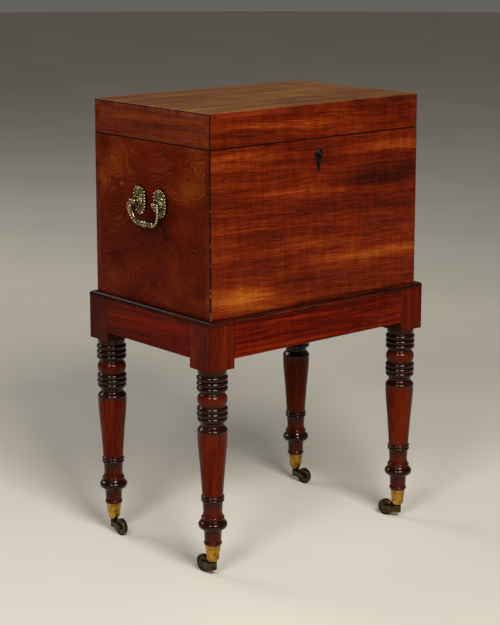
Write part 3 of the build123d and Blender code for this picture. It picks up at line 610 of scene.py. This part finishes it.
class Casting:
    """Closed forms in millimetres that are melted into one skin. u along the side, v up, w out of the face."""

    def __init__(self):
        self.bm = bmesh.new()

    def ball(self, u, v, w, r, su=1.0, sv=1.0, sw=1.0, turn=0.0):
        m = Matrix.Translation((u, v, w)) @ Matrix.Rotation(turn, 4, "Z") @ Matrix.Diagonal((su, sv, sw, 1.0))
        bmesh.ops.create_icosphere(self.bm, subdivisions=3, radius=r, matrix=m)

    def tube(self, points, per=8, sides=14, flat=1.0):
        path = smooth_path([Vector(p) for p in points], per)
        centres = [Vector(p[:3]) for p in path]
        rings, normal = [], None
        for i, c in enumerate(centres):
            a, b = centres[max(i - 1, 0)], centres[min(i + 1, len(centres) - 1)]
            t = (b - a).normalized()
            if normal is None:
                normal = t.orthogonal().normalized()
            normal = (normal - t * normal.dot(t)).normalized()
            other = t.cross(normal)
            r = path[i][3]
            ring = []
            for k in range(sides):
                f = 2 * math.pi * k / sides
                off = (normal * math.cos(f) + other * math.sin(f)) * r
                off.z *= flat
                ring.append(self.bm.verts.new(c + off))
            rings.append(ring)
        for p, q in zip(rings, rings[1:]):
            for k in range(sides):
                self.bm.faces.new((p[k], p[(k + 1) % sides], q[(k + 1) % sides], q[k]))
        self.bm.faces.new(list(reversed(rings[0])))
        self.bm.faces.new(rings[-1])
        for c, p in ((centres[0], path[0]), (centres[-1], path[-1])):
            self.ball(c.x, c.y, c.z, p[3] * 0.98, sw=flat)

    def lathe(self, u, v, profile, sides=28, axis="w"):
        """profile is (r, w) from the back to the front, round the line along w (or along u)."""
        rings = []
        for r, w in profile:
            ring = []
            for k in range(sides):
                f = 2 * math.pi * k / sides
                a, b = math.cos(f) * r, math.sin(f) * r
                ring.append(self.bm.verts.new((u + a, v + b, w) if axis == "w" else (w, u + a, v + b)))
            rings.append(ring)
        for p, q in zip(rings, rings[1:]):
            for k in range(sides):
                self.bm.faces.new((p[k], p[(k + 1) % sides], q[(k + 1) % sides], q[k]))
        self.bm.faces.new(list(reversed(rings[0])))
        self.bm.faces.new(rings[-1])

    def pour(self, name, voxel, smooth, place):
        """Melts the forms together and puts the skin in the object's frame with place(u, v, w) in metres."""
        bmesh.ops.recalc_face_normals(self.bm, faces=self.bm.faces)
        raw = bpy.data.meshes.new(name + "_raw")
        self.bm.to_mesh(raw)
        self.bm.free()
        temp = bpy.data.objects.new(name + "_raw", raw)
        scene.collection.objects.link(temp)
        m = temp.modifiers.new("melt", "REMESH")
        m.mode, m.voxel_size, m.adaptivity = "VOXEL", voxel, 0.0
        m = temp.modifiers.new("soften", "SMOOTH")
        m.factor, m.iterations = 0.5, smooth
        dg = bpy.context.evaluated_depsgraph_get()
        mesh = bpy.data.meshes.new_from_object(temp.evaluated_get(dg))
        mesh.name = name
        bpy.data.objects.remove(temp)
        bpy.data.meshes.remove(raw)
        for vert in mesh.vertices:
            vert.co = place(*vert.co)
        mesh.polygons.foreach_set("use_smooth", [True] * len(mesh.polygons))
        return mesh


HANDLE_Z = 0.5635
FACE = 0.215
POST = 0.025


def plate_form(c, u0):
    """One backplate: a pierced C-scroll with a leafed head, beads down its outer edge, and a curled foot."""
    wide = 1.02

    def at(points):
        return [(u0 + u * wide, v, w, r) for u, v, w, r in points]

    # backing
    for u, v, r, su, sv in ((0.6, 13.2, 7.6, 1.15, 0.92), (1.6, 0, 8.8, 1.0, 1.05), (2.2, -12.6, 6.4, 1.15, 0.95), (8.6, 4, 3.4, 1.0, 3.2)):
        c.ball(u0 + u * wide, v, 0.35, r, su * wide, sv, 0.9 / r)
    # the back of the C, with its curled ends
    spine = [
        (-8.2, 5.0, 1.2, 0.8), (-10.7, 5.6, 1.3, 1.1), (-11.9, 9.0, 1.5, 1.3), (-10.6, 13.4, 1.7, 1.5), (-6.8, 16.8, 1.9, 1.6),
        (-1.5, 17.6, 2.0, 1.6), (4.2, 16.6, 2.0, 1.5), (8.0, 13.2, 1.9, 1.4), (8.9, 8.6, 1.7, 1.2), (9.0, 2.5, 1.6, 1.1),
        (9.0, -3.5, 1.6, 1.1), (8.3, -9.2, 1.6, 1.25), (6.4, -14.2, 1.7, 1.45), (1.8, -17.0, 1.6, 1.45), (-3.4, -16.6, 1.5, 1.3),
        (-6.9, -13.4, 1.4, 1.15), (-6.0, -9.9, 1.2, 0.95), (-3.2, -10.0, 1.1, 0.8),
    ]
    c.tube(at(spine))
    c.ball(u0 - 8.0 * wide, 4.8, 1.6, 1.5)
    c.ball(u0 - 3.4 * wide, -10.4, 1.5, 1.4)
    # inner rib round the stud
    rib = [(-6.8, 2.4, 1.0, 0.7), (-5.6, 6.4, 1.4, 0.85), (-1.4, 8.6, 1.6, 0.95), (3.6, 7.6, 1.6, 0.95), (6.2, 3.6, 1.4, 0.9),
           (6.6, -2.0, 1.3, 0.85), (5.2, -7.0, 1.3, 0.85), (1.0, -9.4, 1.2, 0.8), (-3.4, -7.8, 1.0, 0.65)]
    c.tube(at(rib))
    # leaf in the head: a main vein across it and lobes on both sides
    c.tube(at([(-7.4, 14.6, 1.2, 0.8), (-3.4, 13.2, 2.5, 1.4), (1.6, 10.7, 2.9, 1.5), (6.6, 7.2, 1.9, 0.9)]))
    for a, b, r in (((-5.4, 13.6), (-8.0, 9.6), 1.0), ((-2.2, 12.3), (-5.0, 8.4), 1.05), ((0.8, 10.8), (-1.4, 7.6), 0.95),
                    ((-2.6, 13.8), (-0.2, 16.2), 1.0), ((0.6, 12.2), (3.8, 15.0), 1.05), ((3.2, 10.4), (6.4, 11.8), 1.0)):
        mid = ((a[0] + b[0]) / 2, (a[1] + b[1]) / 2)
        c.tube(at([(a[0], a[1], 2.0, r * 0.8), (mid[0], mid[1], 2.3, r), (b[0], b[1], 1.2, r * 0.7)]))
        c.ball(u0 + b[0] * wide, b[1], 1.6, 1.05)
    # beads outside the spine, largest down the long edge
    edge = smooth_path([Vector(q) for q in at(spine[1:17])], 24)
    last = None
    for i, p in enumerate(edge[:-1]):
        here = Vector((p[0], p[1]))
        if last is None or (here - last).length >= 4.15:
            q = edge[i + 1]
            d = (Vector((q[0], q[1])) - here).normalized()
            spot = here + Vector((-d.y, d.x)) * 2.9
            c.ball(spot.x, spot.y, 1.5, 1.78 if here.x - u0 > 6 else 1.55, sw=1.15)
            last = here
    # shell lobes over the foot
    for u, v, r in ((2.8, -12.4, 1.6), (5.4, -10.4, 1.3), (0.0, -13.6, 1.4), (-2.6, -13.6, 1.1)):
        c.ball(u0 + u * wide, v, 1.4, r, 1.0, 1.5, 0.9, turn=-0.5)


def stud_form(c, u0):
    c.lathe(u0, 0.0, [(6.6, 0.6), (6.9, 1.6), (6.4, 2.5), (5.0, 2.9), (4.4, 3.5), (3.7, 5.2), (3.35, 7.2), (3.9, 8.2), (4.25, 8.8), (3.7, 9.5),
                      (4.2, 10.4), (4.75, 11.9), (4.9, 13.5), (4.6, 15.2), (3.7, 16.6), (2.2, 17.2), (1.6, 17.4), (1.9, 17.8), (1.4, 18.05)])
    for k in range(10):
        f = 2 * math.pi * k / 10
        c.ball(u0 + 5.6 * math.cos(f), 5.6 * math.sin(f), 2.5, 1.0)
    # reeds on the neck
    for k in range(9):
        f = 2 * math.pi * (k + 0.5) / 9
        a, b = math.cos(f), math.sin(f)
        c.tube([(u0 + 4.3 * a, 4.3 * b, 3.4, 0.6), (u0 + 3.5 * a, 3.5 * b, 5.6, 0.6), (u0 + 3.3 * a, 3.3 * b, 7.6, 0.5)], per=4, sides=8)


def bail_form(c):
    arm = [  # along the side, below the pivot, out of the face, radius
        (32.6, 0.0, 13.5, 2.2), (34.2, -3.8, 14.3, 2.2), (34.4, -8.5, 14.4, 1.9), (32.8, -17.0, 13.4, 1.45), (28.8, -25.0, 12.0, 1.45),
        (21.5, -30.6, 11.0, 1.6), (15.0, -32.2, 10.7, 1.6), (10.0, -32.4, 10.8, 1.6), (4.6, -32.3, 11.0, 1.9), (0.0, -32.2, 11.1, 2.4),
    ]
    path = arm + [(-u, v, w, r) for u, v, w, r in reversed(arm[:-1])]
    c.tube(path, per=8, sides=16)
    curve = smooth_path([Vector(p) for p in arm], 24)
    for sign in (1, -1):
        # the arm is a strap: beads along its outer edge, a thin rib along its inner one
        last, rib, web = None, [], []
        for i, p in enumerate(curve[:-1]):
            here = Vector(p[:3])
            t = (Vector(curve[i + 1][:3]) - here).normalized()
            flat = here - Vector((0, -6, here.z))
            d = (flat.normalized() * 0.8 + Vector((0, 0, 0.6)))
            d = (d - t * d.dot(t)).normalized()
            if here.x > 15.0 and here.y < -5.0:
                if last is None or (here - last).length > 4.0:
                    at = here + d * 2.75
                    c.ball(sign * at.x, at.y, min(at.z, 16.3), 1.7)
                    last = here
                if i % 12 == 0:
                    at = here - d * 2.1 + Vector((0, 0, 0.9))
                    rib.append((sign * at.x, at.y, at.z, 1.15))
                    at = here + d * 1.3
                    web.append((sign * at.x, at.y, at.z, 0.8))
        c.tube(rib)
        c.tube(web)
        # collars on the shoulder
        for u, v, w, r in ((34.5, -7.4, 14.4, 3.1), (34.35, -9.3, 14.4, 2.6)):
            c.ball(sign * u, v, w, r, 1.0, 0.4, 1.0)
        # leaf loops beside the knop
        for u, big in ((8.8, 2.7), (14.8, 2.9)):
            ring = [(sign * (u + big * math.cos(f)), -31.8 + big * 0.95 * math.sin(f), 12.9, 0.95) for f in [k * math.pi / 4 for k in range(9)]]
            c.tube(ring, per=3, sides=8)
            c.ball(sign * (u + 3.0), -29.6, 12.6, 1.15)
            c.ball(sign * (u + 3.0), -34.4, 12.2, 1.15)
        # boss on the pin
        c.lathe(0.0, 13.5, [(1.6, sign * 25.6), (1.6, sign * 29.95), (3.3, sign * 30.1), (3.5, sign * 31.2), (3.2, sign * 33.6), (2.3, sign * 35.0), (1.2, sign * 35.4)], axis="u")
        # curled tips that stand off the shoulder
        c.tube([(sign * 34.4, -5.2, 15.0, 1.7), (sign * 36.2, -6.4, 16.2, 1.4), (sign * 37.9, -8.6, 16.7, 1.2), (sign * 37.7, -11.0, 16.3, 1.0), (sign * 36.2, -11.6, 15.8, 0.8)])
        c.ball(sign * 36.3, -11.3, 16.3, 1.3)
        c.tube([(sign * 33.4, -2.4, 15.4, 1.5), (sign * 31.4, -3.6, 16.6, 1.25), (sign * 29.6, -5.4, 16.6, 1.05), (sign * 30.0, -7.4, 16.0, 0.85)])
        c.ball(sign * 30.4, -7.2, 16.2, 1.2)
    # knop: rings and a bead between them
    for u, r, k in ((-2.9, 5.7, 0.24), (2.9, 5.7, 0.24), (-5.4, 4.1, 0.24), (5.4, 4.1, 0.24)):
        c.ball(u, -32.0, 11.2, r, k, 1.0, 1.0)
    c.ball(0, -32.0, 11.2, 4.6, 0.58, 1.0, 1.0)


def add_piece(name, mesh, material, body, slot, *replaced):
    o = bpy.data.objects.new(name, mesh)
    scene.collection.objects.link(o)
    mesh.materials.clear()
    mesh.materials.append(material)
    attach(o, body)
    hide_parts(*replaced)
    return o


def handle(side, material):
    # u runs towards the front on the left side and towards the back on the right: the same castings, turned round
    k = -1.0 if side == "left" else 1.0

    def place(u, v, w):
        return (k * (FACE + w * 0.001), k * u * 0.001, HANDLE_Z + v * 0.001)

    c = Casting()
    plate_form(c, 25.0)
    plate_form(c, -25.0)
    add_piece("handle_%s_cast_plates" % side, c.pour("plates_" + side, 0.34, 2, place), material, "box", "brass", "handle_%s_plates" % side)
    c = Casting()
    stud_form(c, 25.0)
    stud_form(c, -25.0)
    add_piece("handle_%s_cast_studs" % side, c.pour("studs_" + side, 0.34, 2, place), material, "box", "brass", "handle_%s_posts" % side)
    c = Casting()
    bail_form(c)
    add_piece("handle_%s_cast_bail" % side, c.pour("bail_" + side, 0.32, 2, place), material, "bail_" + side, "brass", "handle_%s_bail" % side)


handle("left", cast)
handle("right", cast)

# ---------------------------------------------------------------- floor and light

bm = bmesh.new()
bmesh.ops.create_circle(bm, cap_ends=True, radius=14.0, segments=96)
floor_mesh = bpy.data.meshes.new("floor")
bm.to_mesh(floor_mesh)
bm.free()
floor = bpy.data.objects.new("floor", floor_mesh)
scene.collection.objects.link(floor)
s = Shader("floor")
n = s.noise(s.vec(s.mm()[0] / 600.0, s.mm()[1] / 600.0, 0.0), detail=2.0)
floor_mesh.materials.append(s.finish(s.ramp(n, [(0.2, srgb(205, 200, 190)), (0.8, srgb(212, 207, 197))]), 0.8, Specular_IOR_Level=0.1))

world = bpy.data.worlds.new("world")
scene.world = world
world.use_nodes = True
world.node_tree.nodes["Background"].inputs[0].default_value = srgb(150, 147, 140)
world.node_tree.nodes["Background"].inputs[1].default_value = 0.42


def soft_light(name, at, towards, size, power, colour=(1, 1, 1)):
    data = bpy.data.lights.new(name, "AREA")
    data.shape = "RECTANGLE"
    data.size, data.size_y = size
    data.energy = power
    data.color = colour
    o = bpy.data.objects.new(name, data)
    scene.collection.objects.link(o)
    o.location = at
    o.rotation_euler = (Vector(towards) - Vector(at)).to_track_quat("-Z", "Y").to_euler()
    return o


soft_light("key", (-0.86, -2.65, 2.4), (0, 0, 0.45), (1.25, 1.25), 122, (1.0, 0.97, 0.92))
soft_light("fill", (-2.46, -1.31, 2.4), (0, 0, 0.45), (0.85, 0.85), 46, (1.0, 0.97, 0.93))
soft_light("rear", (-0.9, 3.2, 2.6), (0, 0, 0.6), (2.0, 1.0), 42, (1.0, 0.98, 0.96))
